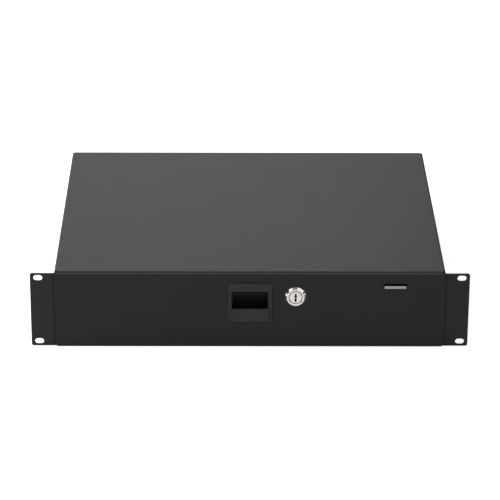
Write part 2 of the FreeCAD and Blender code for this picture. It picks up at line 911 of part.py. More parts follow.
def latch_spring():
    pitch = (spring_length - 2 * spring_wire) / spring_turns
    base = Vector(0, spring_y, spring_seat_z() + spring_wire)
    helix = Part.makeHelix(pitch, pitch * spring_turns, spring_radius)
    helix.translate(base)
    corners = []
    for step in range(spring_wire_sides + 1):
        turn = 2 * math.pi * step / spring_wire_sides
        reach = spring_radius + spring_wire * math.cos(turn)
        corners.append(base + Vector(reach, 0, spring_wire * math.sin(turn)))
    section = Part.makePolygon(corners)
    return Part.Wire(helix.Edges).makePipeShell([section], True, True)


def lock_body():
    y_rim = panel_front - lock_flange_rim
    y_face = panel_front - lock_proud
    centre = Vector(lock_x, 0, lock_z)
    rim = rod(lock_flange_radius, centre + along_y * y_rim, centre + along_y * panel_front)
    face_centre = centre + along_y * y_face
    dome = Part.makeCone(lock_ring_radius, lock_flange_radius, y_rim - y_face, face_centre, along_y)
    barrel = lock_hole(0, (panel_front, lock_body_rear))
    face_bore = rod(plug_face_radius + plug_play, centre + along_y * (y_face - cut_past),
                    centre + along_y * (y_face + plug_face_depth + plug_play))
    core_bore = rod(plug_core_radius + plug_play, centre + along_y * y_face,
                    centre + along_y * (lock_body_rear + cut_past))
    return joined([rim, dome, barrel]).cut([face_bore, core_bore])


def lock_plug():
    y_face = panel_front - lock_proud
    centre = Vector(lock_x, 0, lock_z)
    face_start = centre + along_y * y_face
    face = rod(plug_face_radius, face_start, face_start + along_y * plug_face_depth)
    core = rod(plug_core_radius, centre + along_y * y_face, centre + along_y * cam_front)
    half_tang = tang_width / 2
    tang = block(
        (lock_x - half_tang, lock_x + half_tang),
        (cam_front - cut_past, cam_front + cam_thickness - tang_setback),
        (lock_z - half_tang, lock_z + half_tang),
    )
    half_slot = key_slot_width / 2
    slot = block(
        (lock_x - half_slot, lock_x + half_slot),
        (y_face - cut_past, y_face + key_slot_depth),
        (lock_z - key_slot_height / 2, lock_z + key_slot_height / 2),
    )
    tip = centre + along_y * (cam_front + cam_thickness - cam_screw_length)
    thread = rod(cam_screw_radius, tip, tip + along_y * (cam_screw_length + cut_past))
    return joined([face, core, tang]).cut([slot, thread])


def lock_cam():
    centre = Vector(lock_x, cam_front, lock_z)
    hub = rod(cam_width / 2, centre, centre + along_y * cam_thickness)
    tip_start = lock_x + cam_length - cam_tip_width / 2
    arm_corners = [
        (lock_x, lock_z - cam_width / 2),
        (tip_start, lock_z - cam_tip_width / 2),
        (tip_start, lock_z + cam_tip_width / 2),
        (lock_x, lock_z + cam_width / 2),
    ]
    arm = slab(arm_corners, flat_y, along_y, (cam_front, cam_front + cam_thickness))
    tip_centre = Vector(tip_start, cam_front, lock_z)
    tip = rod(cam_tip_width / 2, tip_centre, tip_centre + along_y * cam_thickness)
    half_tang = tang_width / 2 + plug_play
    window = block(
        (lock_x - half_tang, lock_x + half_tang),
        (cam_front - cut_past, cam_front + cam_thickness + cut_past),
        (lock_z - half_tang, lock_z + half_tang),
    )
    return joined([hub, arm, tip]).cut(window)


def cam_screw():
    seat = Vector(lock_x, cam_front + cam_thickness, lock_z)
    head = rod(cam_screw_head, seat, seat + along_y * cam_screw_head_height)
    head = head.makeFillet(cam_screw_head_height / 3, rear_rim(head, seat.y + cam_screw_head_height))
    return joined([head, rod(cam_screw_radius, seat - along_y * cam_screw_length, seat)])


def lock_washer():
    start = Vector(lock_x, tray_wall_rear, lock_z)
    disc = rod(lock_washer_radius, start, start + along_y * lock_washer_thickness)
    return disc.cut(lock_hole(plug_play, (tray_wall_rear - cut_past, tray_wall_rear + 2 * cut_past)))


def lock_nut():
    front = tray_wall_rear + lock_washer_thickness
    nut = hexagon(lock_nut_width, lock_nut_height, lock_x, front, lock_z)
    thread = Vector(lock_x, front - cut_past, lock_z)
    tip = thread + along_y * (lock_nut_height + 2 * cut_past)
    return nut.cut(rod(lock_body_radius + thread_play, thread, tip))


def save(name, shapes):
    solids = shapes if isinstance(shapes, list) else [shapes]
    solids = [solid for shape in solids for solid in shape.Solids]
    whole = solids[0] if len(solids) == 1 else Part.makeCompound(solids)
    whole.exportStep(os.path.join("parts", name + ".step"))
    print(name, len(solids), "valid" if whole.isValid() else "NOT VALID", round(whole.Volume, 1))


def save_pair(name, shapes):
    solids = shapes if isinstance(shapes, list) else [shapes]
    save(name + "_right", solids)
    save(name + "_left", [mirrored(solid) for solid in solids])


os.makedirs("parts", exist_ok=True)
save("chassis", chassis())
save("top_cover", top_cover())
save("cover_screws", cover_screws())
save("strike_rail", strike_rail())
save("drawer_tray", drawer_tray())
save("tray_back", tray_back())
save("front_panel", front_panel())
save("panel_studs", panel_studs())
save("panel_nuts", panel_nuts())
save_pair("slide_outer", slide_outer())
save_pair("slide_middle", slide_middle())
save_pair("slide_inner", slide_inner())
save_pair("outer_cage", outer_cage())
save_pair("inner_cage", inner_cage())
save_pair("outer_balls", balls(outer_ball_depth, outer_ball_z))
save_pair("inner_balls", balls(inner_ball_depth, inner_ball_z))
save_pair("slide_screws", slide_screws())
save_pair("tray_screws", tray_screws())
save_pair("buffer", slide_buffer())
save("latch_housing", latch_housing())
save("latch_pin", latch_pin())
save("latch_screws", latch_screws())
save("latch_spring", latch_spring())
save("latch_lever", latch_lever())
save("lock_body", lock_body())
save("lock_plug", lock_plug())
save("lock_cam", lock_cam())
save("cam_screw", cam_screw())
save("lock_washer", lock_washer())
save("lock_nut", lock_nut())
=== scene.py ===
import json
import math
import bpy
import bmesh
from mathutils import Matrix, Vector


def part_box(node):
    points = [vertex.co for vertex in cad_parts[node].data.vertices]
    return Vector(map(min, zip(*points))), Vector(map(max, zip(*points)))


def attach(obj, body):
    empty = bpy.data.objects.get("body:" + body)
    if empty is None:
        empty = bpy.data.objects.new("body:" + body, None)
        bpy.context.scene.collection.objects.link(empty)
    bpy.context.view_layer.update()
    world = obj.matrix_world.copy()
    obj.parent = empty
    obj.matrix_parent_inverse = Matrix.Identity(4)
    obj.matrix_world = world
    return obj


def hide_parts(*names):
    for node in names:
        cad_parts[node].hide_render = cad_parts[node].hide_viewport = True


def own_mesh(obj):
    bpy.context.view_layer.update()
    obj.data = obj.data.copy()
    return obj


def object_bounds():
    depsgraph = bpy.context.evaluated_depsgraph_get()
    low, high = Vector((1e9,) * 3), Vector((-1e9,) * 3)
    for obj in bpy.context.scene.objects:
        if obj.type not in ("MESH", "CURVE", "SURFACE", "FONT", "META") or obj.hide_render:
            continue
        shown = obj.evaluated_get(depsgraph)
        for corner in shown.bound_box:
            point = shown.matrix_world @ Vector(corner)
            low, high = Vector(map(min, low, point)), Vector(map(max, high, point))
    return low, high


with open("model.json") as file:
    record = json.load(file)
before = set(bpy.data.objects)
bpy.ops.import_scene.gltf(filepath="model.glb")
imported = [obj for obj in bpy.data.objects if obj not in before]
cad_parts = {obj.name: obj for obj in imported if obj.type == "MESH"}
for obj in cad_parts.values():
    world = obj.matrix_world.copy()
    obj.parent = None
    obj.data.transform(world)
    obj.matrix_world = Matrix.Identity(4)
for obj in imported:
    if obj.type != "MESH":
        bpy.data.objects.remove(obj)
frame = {"nodes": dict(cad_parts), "record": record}
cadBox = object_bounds()
nodes = frame["nodes"]
scene = bpy.context.scene
print("frame loaded:", len(nodes), "nodes")

mm = 0.001
hair = 0.001 * mm        # two measures this close count as the same
weld = 0.002 * mm        # points nearer than this become one


def lowCorner(node):
    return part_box(node)[0]


def highCorner(node):
    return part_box(node)[1]


def middleOf(node):
    low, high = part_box(node)
    return (low + high) / 2


# materials: every finish starts from the same few nodes
def startMaterial(name, colour, roughness, metallic=0.0):
    material = bpy.data.materials.new(name)
    material.use_nodes = True
    tree = material.node_tree
    shader = tree.nodes["Principled BSDF"]
    shader.inputs["Base Color"].default_value = (*colour, 1)
    shader.inputs["Roughness"].default_value = roughness
    shader.inputs["Metallic"].default_value = metallic
    where = tree.nodes.new("ShaderNodeTexCoord").outputs["Object"]
    return material, tree, shader, where


def noise(tree, where, size, detail=2.0, stretch=(1, 1, 1)):
    # size is the pattern's grain in metres
    mapping = tree.nodes.new("ShaderNodeMapping")
    mapping.inputs["Scale"].default_value = [part / size for part in stretch]
    tree.links.new(where, mapping.inputs["Vector"])
    pattern = tree.nodes.new("ShaderNodeTexNoise")
    pattern.inputs["Scale"].default_value = 1.0
    pattern.inputs["Detail"].default_value = detail
    tree.links.new(mapping.outputs["Vector"], pattern.inputs["Vector"])
    return pattern.outputs["Fac"]


patternRange = (0.3, 0.7)


def spread(tree, value, low, high):
    # brings a pattern from its usual range to low..high
    fit = tree.nodes.new("ShaderNodeMapRange")
    fit.inputs["From Min"].default_value = patternRange[0]
    fit.inputs["From Max"].default_value = patternRange[1]
    fit.inputs["To Min"].default_value = low
    fit.inputs["To Max"].default_value = high
    tree.links.new(value, fit.inputs["Value"])
    return fit.outputs["Result"]


def tint(tree, shader, value, dark, light):
    blend = tree.nodes.new("ShaderNodeMix")
    blend.data_type = "RGBA"
    blend.inputs["A"].default_value = (*dark, 1)
    blend.inputs["B"].default_value = (*light, 1)
    tree.links.new(value, blend.inputs["Factor"])
    tree.links.new(blend.outputs["Result"], shader.inputs["Base Color"])


def deepening(tree, where, shallow, deep):
    # 0 at one place along Y, 1 at another farther back
    split = tree.nodes.new("ShaderNodeSeparateXYZ")
    tree.links.new(where, split.inputs["Vector"])
    fit = tree.nodes.new("ShaderNodeMapRange")
    fit.inputs["From Min"].default_value = shallow
    fit.inputs["From Max"].default_value = deep
    tree.links.new(split.outputs["Y"], fit.inputs["Value"])
    return fit.outputs["Result"]


def between(tree, value, near, far):
    # near where the value is 0, far where it is 1
    fit = tree.nodes.new("ShaderNodeMapRange")
    fit.inputs["To Min"].default_value = near
    fit.inputs["To Max"].default_value = far
    tree.links.new(value, fit.inputs["Value"])
    return fit.outputs["Result"]


def paintShadeInside(tree, shader, shadeMask, colour):
    # painted shade: the finish gives way to a dark colour deeper in, where shade falls
    blend = tree.nodes.new("ShaderNodeMix")
    blend.data_type = "RGBA"
    finish = shader.inputs["Base Color"].links[0].from_socket
    tree.links.new(finish, blend.inputs["A"])
    blend.inputs["B"].default_value = (*colour, 1)
    tree.links.new(shadeMask, blend.inputs["Factor"])
    tree.links.new(blend.outputs["Result"], shader.inputs["Base Color"])


roundingSamples = 6


def relief(tree, shader, value, depth, strength, rounding=0.0):
    # rounding softens the edges of the piece by a radius
    bump = tree.nodes.new("ShaderNodeBump")
    if rounding:
        soft = tree.nodes.new("ShaderNodeBevel")
        soft.samples = roundingSamples
        soft.inputs["Radius"].default_value = rounding
        tree.links.new(soft.outputs["Normal"], bump.inputs["Normal"])
    bump.inputs["Strength"].default_value = strength
    bump.inputs["Distance"].default_value = depth
    tree.links.new(value, bump.inputs["Height"])
    tree.links.new(bump.outputs["Normal"], shader.inputs["Normal"])


def shade(colour, factor):
    return tuple(min(1.0, part * factor) for part in colour)


def cloudy(tree, shader, cloud, colour, clouding):
    # clouding gives the darkest and the lightest shade
    dark, light = (shade(colour, factor) for factor in clouding)
    tint(tree, shader, spread(tree, cloud, 0, 1), dark, light)


powderCoat = {
    "casing": (0.0178, 0.0178, 0.0180),
    "drawerFront": (0.0146, 0.0144, 0.0145),
    "rough": (0.42, 0.52), "specular": 0.23,
    "cloud": 40 * mm, "clouding": (0.93, 1.07),
    "orangePeel": 1.1 * mm, "fineGrain": 0.28 * mm, "grainShare": 0.6,
    "depth": 0.02 * mm, "strength": 0.6,
}


def makePowderCoat(name, colour):
    material, tree, shader, where = startMaterial(name, colour, powderCoat["rough"][0])
    shader.inputs["Specular IOR Level"].default_value = powderCoat["specular"]
    cloudy(tree, shader, noise(tree, where, powderCoat["cloud"]), colour, powderCoat["clouding"])
    peel = noise(tree, where, powderCoat["orangePeel"], detail=1)
    grain = noise(tree, where, powderCoat["fineGrain"])
    both = tree.nodes.new("ShaderNodeMath")
    both.operation = "MULTIPLY_ADD"
    both.inputs[1].default_value = powderCoat["grainShare"]
    tree.links.new(grain, both.inputs[0])
    tree.links.new(peel, both.inputs[2])
    relief(tree, shader, both.outputs["Value"], powderCoat["depth"], powderCoat["strength"])
    tree.links.new(spread(tree, grain, *powderCoat["rough"]), shader.inputs["Roughness"])
    return material


zincPlate = {
    "colour": (0.56, 0.575, 0.59), "rough": (0.26, 0.40),
    "line": 0.5 * mm, "lineStretch": 0.02, "cloud": 14 * mm, "clouding": (0.86, 1.08),
    "depth": 0.004 * mm, "strength": 0.5,
}


def makeRolledSteel(name, colour, along):
    # rolled strip: faint lines along the piece and cloudy plating
    material, tree, shader, where = startMaterial(name, colour, zincPlate["rough"][0], metallic=1.0)
    stretch = [1 if axis != along else zincPlate["lineStretch"] for axis in "xyz"]
    lines = noise(tree, where, zincPlate["line"], stretch=stretch)
    cloud = noise(tree, where, zincPlate["cloud"], detail=3)
    cloudy(tree, shader, cloud, colour, zincPlate["clouding"])
    tree.links.new(spread(tree, lines, *zincPlate["rough"]), shader.inputs["Roughness"])
    relief(tree, shader, lines, zincPlate["depth"], zincPlate["strength"])
    return material


# fineParts: how many times finer the relief is than the clouds
plated = {"clouding": (0.9, 1.05), "fineParts": 12, "depth": 0.002 * mm, "strength": 0.4}


def makePlated(name, colour, rough, grain=3 * mm):
    # small turned or pressed pieces: bright, with slight clouding
    material, tree, shader, where = startMaterial(name, colour, rough[0], metallic=1.0)
    cloud = noise(tree, where, grain, detail=3)
    cloudy(tree, shader, cloud, colour, plated["clouding"])
    tree.links.new(spread(tree, cloud, *rough), shader.inputs["Roughness"])
    fine = noise(tree, where, grain / plated["fineParts"])
    relief(tree, shader, fine, plated["depth"], plated["strength"])
    return material


# what all moulded pieces share, then the latch's plastic and the buffers' rubber
moulded = {"cloud": 9 * mm, "clouding": (0.94, 1.06), "depth": 0.012 * mm, "strength": 0.6}
latchPlastic = {
    "colour": (0.0185, 0.0185, 0.0188), "rough": (0.24, 0.32),
    "specular": 0.32, "grain": 0.35 * mm, "rounding": 1.4 * mm,
}
bufferRubber = {
    "colour": (0.018, 0.018, 0.018), "rough": (0.6, 0.72),
    "specular": 0.32, "grain": 0.5 * mm,
}


def makeMoulded(name, colour, rough, specular, grain, rounding=0.0):
    material, tree, shader, where = startMaterial(name, colour, rough[0])
    shader.inputs["Specular IOR Level"].default_value = specular
    cloudy(tree, shader, noise(tree, where, moulded["cloud"]), colour, moulded["clouding"])
    stipple = noise(tree, where, grain, detail=3)
    relief(tree, shader, stipple, moulded["depth"], moulded["strength"], rounding)
    tree.links.new(spread(tree, stipple, *rough), shader.inputs["Roughness"])
    return material


finishes = {
    "black_powder_coat": makePowderCoat("casingPowderCoat", powderCoat["casing"]),
    "front_powder_coat": makePowderCoat("frontPowderCoat", powderCoat["drawerFront"]),
    "slide_steel": makeRolledSteel("slideZinc", zincPlate["colour"], "y"),
    "cage_steel": makeRolledSteel("cageStrip", (0.5, 0.5, 0.49), "y"),
    "zinc_plated_steel": makePlated("brightZinc", (0.6, 0.61, 0.63), (0.22, 0.36)),
    "black_screw": makePlated("blackOxide", (0.045, 0.045, 0.047), (0.34, 0.46), 1.5 * mm),
    "ball_steel": makePlated("ballSteel", (0.78, 0.78, 0.79), (0.08, 0.14), 1.2 * mm),
    "spring_wire": makePlated("springWire", (0.42, 0.42, 0.43), (0.28, 0.38), 1 * mm),
    "lock_chrome": makePlated("lockChrome", (0.86, 0.86, 0.855), (0.06, 0.12), 6 * mm),
    "lock_nickel": makePlated("lockNickel", (0.86, 0.81, 0.73), (0.24, 0.34), 4 * mm),
    "latch_plastic": makeMoulded("latchPlastic", **latchPlastic),
    "buffer_rubber": makeMoulded("bufferRubber", **bufferRubber),
}

# painted shade in the key slot and the finger recess: how they darken, between two depths behind
# the lock's face
recessPaintedShade = {
    "lock_nickel": {"dark": (0.012, 0.008, 0.005), "start": 0.15 * mm, "end": 0.8 * mm},
    "latch_plastic": {"dark": (0.012, 0.012, 0.012), "start": 4.0 * mm, "end": 9.0 * mm},
}
# specular at the deepest part of the painted shade
paintedShadeSpecular = 0.2


# paints shade into the key slot and the finger recess: darker colour, no metal and less gloss
# deeper in
def paintRecessShade():
    face = lowCorner("lock_body").y
    for finish, depths in recessPaintedShade.items():
        tree = finishes[finish].node_tree
        shader = tree.nodes["Principled BSDF"]
        where = tree.nodes["Texture Coordinate"].outputs["Object"]
        # painted shade: the mask grows from the shallow depth to the deep one
        shadeMask = deepening(tree, where, face + depths["start"], face + depths["end"])
        paintShadeInside(tree, shader, shadeMask, depths["dark"])
        # the painted shade also takes away metal and gloss deeper in
        for name, deep in (("Metallic", 0), ("Specular IOR Level", paintedShadeSpecular)):
            socket = shader.inputs[name]
            tree.links.new(between(tree, shadeMask, socket.default_value, deep), socket)


paintRecessShade()
for part in frame["record"]["subparts"]:
    slots = nodes[part["node"]].data.materials
    slots.clear()
    slots.append(finishes[part["material_slot"]])
print("finishes on the frame's nodes:", len(finishes))


def meshObject(name, mesh, material):
    data = bpy.data.meshes.new(name)
    mesh.to_mesh(data)
    mesh.free()
    data.materials.append(material)
    made = bpy.data.objects.new(name, data)
    scene.collection.objects.link(made)
    return made


def newPiece(name, mesh, body, material):
    # a bmesh in place becomes a piece that rides on a body
    bmesh.ops.remove_doubles(mesh, verts=mesh.verts, dist=weld)
    bmesh.ops.recalc_face_normals(mesh, faces=mesh.faces)
    piece = meshObject(name, mesh, material)
    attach(piece, body)
    return piece


def bevel(mesh, edges, offset, segments):
    bmesh.ops.bevel(mesh, geom=edges, offset=offset, segments=segments, profile=0.5,
                    affect="EDGES", material=-1)


def roundedBar(width, height, thickness, corner, edge):
    # a flat bar facing -Y, centred on the origin, its back at y = 0
    mesh = bmesh.new()
    bmesh.ops.create_cube(mesh, size=1)
    bmesh.ops.scale(mesh, vec=(width, thickness, height), verts=mesh.verts)
    bmesh.ops.translate(mesh, vec=(0, -thickness / 2, 0), verts=mesh.verts)
    upright = [e for e in mesh.edges if abs(e.verts[0].co.y - e.verts[1].co.y) > thickness / 2]
    bevel(mesh, upright, corner, segments=6)
    rim = [e for e in mesh.edges if all(v.co.y < hair - thickness for v in e.verts)]
    bevel(mesh, rim, edge, segments=3)
    return mesh


# the bare name plate near the right end of the drawer front
plate = {
    "fromRightEdge": 55.3 * mm, "belowTop": 14.6 * mm,
    "bar": {"width": 25.6 * mm, "height": 5.6 * mm, "thickness": 0.6 * mm,
            "corner": 0.8 * mm, "edge": 0.2 * mm},
    "stripe": {"width": 23.8 * mm, "height": 3.15 * mm, "thickness": 0.12 * mm,
               "corner": 0.3 * mm, "edge": 0.04 * mm},
    "stripeDrop": 1.1 * mm,
    "black": {"colour": (0.002, 0.002, 0.002), "rough": (0.5, 0.6), "specular": 0.02,
              "grain": 0.6 * mm},
    "silver": {"colour": (0.36, 0.36, 0.36), "rough": (0.35, 0.45), "grain": 2 * mm},
}


def makeFrontPlate():
    corner = highCorner("front_panel")
    face = lowCorner("front_panel").y
    centre = Vector((corner.x - plate["fromRightEdge"], face, corner.z - plate["belowTop"]))
    black = makeMoulded("plateBlack", **plate["black"])
    bar = roundedBar(**plate["bar"])
    bmesh.ops.translate(bar, vec=centre, verts=bar.verts)
    newPiece("front_plate", bar, "drawer", black)
    silver = makePlated("plateSilver", **plate["silver"])
    stripe = roundedBar(**plate["stripe"])
    lift = Vector((0, -plate["bar"]["thickness"], -plate["stripeDrop"]))
    bmesh.ops.translate(stripe, vec=centre + lift, verts=stripe.verts)
    newPiece("front_plate_stripe", stripe, "drawer", silver)


makeFrontPlate()
print("name plate made")


def turned(mesh, profile, steps, closed=False):
    # spins (radius, height) pairs about the Z axis
    points = [mesh.verts.new((radius, 0, height)) for radius, height in profile]
    lines = [mesh.edges.new(pair) for pair in zip(points, points[1:])]
    if closed:
        lines.append(mesh.edges.new((points[-1], points[0])))
    bmesh.ops.spin(mesh, geom=points + lines, cent=(0, 0, 0), axis=(0, 0, 1), angle=math.tau,
                   steps=steps, use_merge=True)
    bmesh.ops.remove_doubles(mesh, verts=mesh.verts, dist=weld)


def sinkOutline(mesh, outline, height, depth, taper=1.0):
    # fills the open ring at the top around an outline, then sinks the outline
    ring = [e for e in mesh.edges if e.is_boundary]
    corners = [mesh.verts.new((x, y, height)) for x, y in outline]
    edges = [mesh.edges.new(pair) for pair in zip(corners, corners[1:] + corners[:1])]
    bmesh.ops.triangle_fill(mesh, edges=ring + edges, use_beauty=True, normal=(0, 0, 1))
    walls = bmesh.ops.extrude_edge_only(mesh, edges=edges)["geom"]
    sunk = [part for part in walls if isinstance(part, bmesh.types.BMVert)]
    bmesh.ops.scale(mesh, vec=(taper, taper, 1), verts=sunk)
    bmesh.ops.translate(mesh, vec=(0, 0, -depth), verts=sunk)
    rim = [e for e in mesh.edges if e.verts[0] in sunk and e.verts[1] in sunk]
    bmesh.ops.contextual_create(mesh, geom=rim)


def putOn(mesh, centre, outward):
    # local Z turns to face outward, local Y stays up
    turn = Vector(outward).to_track_quat("Z", "Y").to_matrix()
    bmesh.ops.rotate(mesh, cent=(0, 0, 0), matrix=turn, verts=mesh.verts)
    bmesh.ops.translate(mesh, vec=centre, verts=mesh.verts)


# the cam lock: heights are in front of the drawer front
lock = {
    "flange": 11.5 * mm, "rim": 0.7 * mm, "ring": 9.7 * mm, "ringEdge": 0.3 * mm, "proud": 3.0 * mm,
    "bore": 7.65 * mm, "plug": 6.95 * mm, "plugEdge": 0.3 * mm, "plugSet": 0.1 * mm,
    "groove": 0.7 * mm, "core": 6.0 * mm, "play": 0.05 * mm, "faceDepth": 2.0 * mm,
    "thread": 9.5 * mm, "threadDepth": 0.45 * mm, "pitch": 1.6 * mm, "flats": 8.0 * mm,
    "slotDepth": 7.0 * mm, "tang": 6.9 * mm, "tangOverlap": 1 * mm,
    "roundMiddle": 0.3,             # where a rounded edge's middle point lies, as a share of it
    "barrelSteps": 64, "headSteps": 96,
}
# the key slot's outline across and up, in millimetres
keySlot = [(-1.05, -4.9), (1.05, -4.9), (1.05, 0.5), (1.45, 0.8), (1.45, 1.9), (1.05, 2.2),
           (1.05, 4.9), (-1.05, 4.9), (-1.05, 2.6), (-1.4, 2.3), (-1.4, 1.0), (-1.05, 0.7)]
# the brass wafers in the slot: their size, then how far up and how deep each one is
wafers = {
    "size": (2.5 * mm, 0.9 * mm, 1.0 * mm),
    "places": ((-0.7 * mm, 0.6 * mm), (2.2 * mm, 3.4 * mm), (-2.4 * mm, 4.9 * mm)),
    "brass": {"colour": (0.34, 0.26, 0.15), "rough": (0.35, 0.5), "grain": 2 * mm},
}


def makeLockBody(front, length):
    mesh = bmesh.new()
    bore, root = lock["core"] + lock["play"], lock["thread"] - lock["threadDepth"]
    barrel = [(bore, -length), (bore, 0)]
    for turn in range(int(length / lock["pitch"])):
        barrel.append((lock["thread"], -turn * lock["pitch"]))
        barrel.append((root, -(turn + 1 / 2) * lock["pitch"]))
    barrel.append((root, -length))
    turned(mesh, barrel, lock["barrelSteps"], closed=True)
    for side in (-1, 1):
        cut = bmesh.ops.bisect_plane(
            mesh, geom=mesh.verts[:] + mesh.edges[:] + mesh.faces[:], dist=hair,
            plane_co=(side * lock["flats"], 0, 0), plane_no=(side, 0, 0), clear_outer=True)
        openEdges = [part for part in cut["geom_cut"] if isinstance(part, bmesh.types.BMEdge)]
        bmesh.ops.triangle_fill(mesh, edges=openEdges, use_beauty=True, normal=(side, 0, 0))
    edge, proud = lock["ringEdge"], lock["proud"]
    eased = edge * lock["roundMiddle"]
    floor = proud - lock["faceDepth"] - lock["play"]
    head = [
        (bore, 0), (bore, floor), (lock["bore"], floor), (lock["bore"], proud - edge),
        (lock["bore"] + edge, proud), (lock["ring"] - edge, proud),
        (lock["ring"] - eased, proud - eased), (lock["ring"], proud - edge),
        (lock["flange"], lock["rim"]), (lock["flange"], 0),
    ]
    turned(mesh, head, lock["headSteps"], closed=True)
    putOn(mesh, front, (0, -1, 0))
    piece = newPiece("lock_body_turned", mesh, "drawer", finishes["lock_chrome"])
    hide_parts("lock_body")


def makeLockPlug(front, coreEnd, tangEnd):
    mesh = bmesh.new()
    face = lock["proud"] - lock["plugSet"]
    edge = lock["plugEdge"]
    reach = lock["bore"] - lock["play"]
    shoulder = lock["proud"] - lock["faceDepth"]
    profile = [
        (lock["plug"] - edge, face), (lock["plug"], face - edge),
        (lock["plug"], face - lock["groove"]), (reach, face - lock["groove"]),
        (reach, shoulder), (lock["core"], shoulder), (lock["core"], -coreEnd), (0, -coreEnd),
    ]
    turned(mesh, profile, lock["headSteps"])
    sinkOutline(mesh, [(x * mm, y * mm) for x, y in keySlot], face, lock["slotDepth"])
    tang = bmesh.ops.create_cube(mesh, size=1)["verts"]
    tangStart = coreEnd - lock["tangOverlap"]
    bmesh.ops.scale(mesh, vec=(lock["tang"], lock["tang"], tangEnd - tangStart), verts=tang)
    bmesh.ops.translate(mesh, vec=(0, 0, -(tangEnd + tangStart) / 2), verts=tang)
    putOn(mesh, front, (0, -1, 0))
    piece = newPiece("lock_plug_turned", mesh, "lock_core", finishes["lock_nickel"])
    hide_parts("lock_plug")


def makeWafers(front):
    mesh = bmesh.new()
    for offset, depth in wafers["places"]:
        wafer = bmesh.ops.create_cube(mesh, size=1)["verts"]
        bmesh.ops.scale(mesh, vec=wafers["size"], verts=wafer)
        height = lock["proud"] - lock["plugSet"] - depth - wafers["size"][2] / 2
        bmesh.ops.translate(mesh, vec=(0, offset, height), verts=wafer)
    putOn(mesh, front, (0, -1, 0))
    brass = makePlated("waferBrass", **wafers["brass"])
    newPiece("lock_wafers", mesh, "lock_core", brass)


def makeLock():
    low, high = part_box("lock_body")
    front = Vector(((low.x + high.x) / 2, low.y + lock["proud"], (low.z + high.z) / 2))
    makeLockBody(front, high.y - front.y)
    makeLockPlug(front, lowCorner("lock_cam").y - front.y, highCorner("lock_plug").y - front.y)
    makeWafers(front)


makeLock()
print("lock made")


def solidBoxes(node):
    # the low and high corner of each separate solid of a node
    mesh = bmesh.new()
    mesh.from_mesh(nodes[node].data)
    bmesh.ops.remove_doubles(mesh, verts=mesh.verts, dist=hair)
    waiting = set(mesh.verts)
    boxes = []
    while waiting:
        island = [waiting.pop()]
        for vert in island:
            for edge in vert.link_edges:
                other = edge.other_vert(vert)
                if other in waiting:
                    waiting.remove(other)
                    island.append(other)
        columns = [[vert.co[axis] for vert in island] for axis in range(3)]
        boxes.append((Vector(map(min, columns)), Vector(map(max, columns))))
    mesh.free()
    return boxes


# screws: the recess is a cross whose arm, half-width and depth are shares of the head's size
screws = {
    "steps": 24, "arm": 0.62, "half": 0.15, "depth": 0.42, "taper": 0.45,
    "round": 0.3, "crown": (0.3, 0.2), "sunkRim": 0.1 * mm, "tip": 0.3 * mm,
    "rearZone": 10 * mm,
}
# radius and height of the head, and radius of the shank
screwSizes = {
    "cover_screws": (2.9 * mm, 1.6 * mm, 1.5 * mm),
    "latch_screws": (2.8 * mm, 2.0 * mm, 1.5 * mm),
    "cam_screw": (4.5 * mm, 2.6 * mm, 2.0 * mm),
    "tray_screws": (3.5 * mm, 1.8 * mm, 1.9 * mm),
}


def crossOutline(radius):
    # each quarter of the cross is the one before it, turned
    arm, half = radius * screws["arm"], radius * screws["half"]
    quarter = [(arm, -half), (arm, half), (half, half)]
    outline = []
    for _ in range(4):
        outline += quarter
        quarter = [(-y, x) for x, y in quarter]
    return outline


def screwProfile(head, headHeight, shank, length, sunk):
    # from the top of the head down to the tip, a flat countersunk head or a rounded one
    if sunk:
        rim = [(head, 0), (head, -screws["sunkRim"])]
    else:
        edge = head * screws["round"]
        inward, down = screws["crown"]
        rim = [(head - edge, 0), (head - edge * inward, -edge * down), (head, -edge),
               (head, -headHeight)]
    tip = screws["tip"]
    return rim + [(shank, -headHeight), (shank, tip - length), (shank - tip, -length), (0, -length)]


def makeScrews(node, body, slot, outward, sizes, sunk=False):
    # outward gives each head's direction from its box's middle
    head, headHeight, shank = sizes
    mesh = bmesh.new()
    for low, high in solidBoxes(node):
        facing = outward((low + high) / 2)
        axis = max(range(3), key=lambda part: abs(facing[part]))
        top = (low + high) / 2
        top[axis] = high[axis] if facing[axis] > 0 else low[axis]
        length = high[axis] - low[axis]
        one = bmesh.new()
        turned(one, screwProfile(head, headHeight, shank, length, sunk), screws["steps"])
        sinkOutline(one, crossOutline(head), 0, headHeight * screws["depth"], screws["taper"])
        putOn(one, top, facing)
        data = bpy.data.meshes.new("screw")
        one.to_mesh(data)
        one.free()
        mesh.from_mesh(data)
        bpy.data.meshes.remove(data)
    piece = newPiece(node + "_crossed", mesh, body, finishes[slot])
    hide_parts(node)


def backward(middle):
    return Vector((0, 1, 0))


def towardsMiddle(middle):
    return Vector((-1 if middle.x > 0 else 1, 0, 0))


def outOfCover(middle):
    # cover screws face out of the side they are in, or out of the back
    if middle.y > highCorner("chassis").y - screws["rearZone"]:
        return backward(middle)
    return Vector((1 if middle.x > 0 else -1, 0, 0))


def makeAllScrews():
    makeScrews("cover_screws", "casing", "black_screw", outOfCover, screwSizes["cover_screws"],
               sunk=True)
    makeScrews("latch_screws", "drawer", "black_screw", backward, screwSizes["latch_screws"])
    makeScrews("cam_screw", "lock_core", "zinc_plated_steel", backward, screwSizes["cam_screw"])
    for side in ("left", "right"):
        makeScrews("tray_screws_" + side, "drawer", "zinc_plated_steel", towardsMiddle,
                   screwSizes["tray_screws"])


makeAllScrews()
print("screws made")

# the return spring of the latch: how slim its coil is, the share of its length that it keeps
# at full tilt, and the way it leans
spring = {"slim": 0.7, "keep": 0.42, "lean": (0, 0.42, 0.91)}


